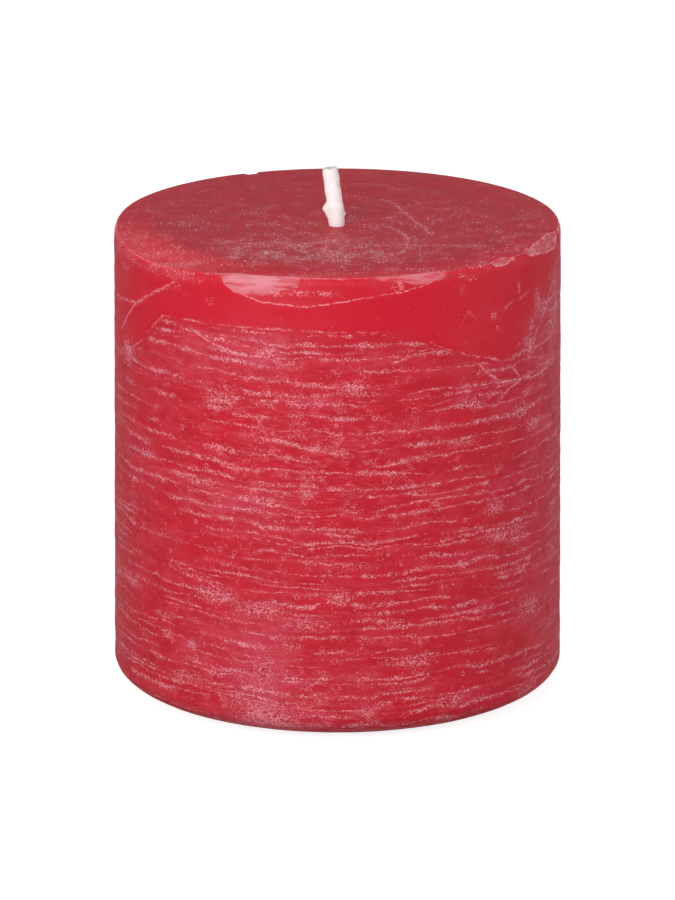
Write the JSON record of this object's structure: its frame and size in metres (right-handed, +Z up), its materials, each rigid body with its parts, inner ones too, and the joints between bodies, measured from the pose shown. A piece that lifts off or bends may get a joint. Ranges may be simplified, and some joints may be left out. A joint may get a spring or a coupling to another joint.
{
  "type": "pillar candle",
  "caption": "Thick cylindrical candle with a flat top, a rounded base edge and a short waxed wick that leans and bends at its root.",
  "frame": {"origin": "centre of the base, on the surface that the candle stands on", "axes": "+Z up along the pillar's axis, -Y towards the viewer, +X to the viewer's right; the wick leans towards -X"},
  "size_m": [0.1, 0.1, 0.1186],
  "materials": {
    "wax": "dyed paraffin wax, satin, with pale frost lines and small pits",
    "wax_second_pour": "dyed paraffin wax, satin, smoother than the first pour",
    "waxed_cotton": "braided cotton primed with clear wax",
    "tinplate": "stamped tinplate, slightly dull"
  },
  "bodies": {
    "candle": {"wax_body": "wax", "base_pour": "wax_second_pour", "wick": "waxed_cotton", "wick_sustainer": "tinplate"},
    "wick_end": {"wick_free_end": "waxed_cotton"}
  },
  "joints": [
    {"name": "wick_bend", "type": "hinge", "parent": "candle", "child": "wick_end", "pos_m": [-0.0002, -0.0033, 0.10755], "axis": [0, 1, 0], "range_deg": [-67, 83]}
  ]
}
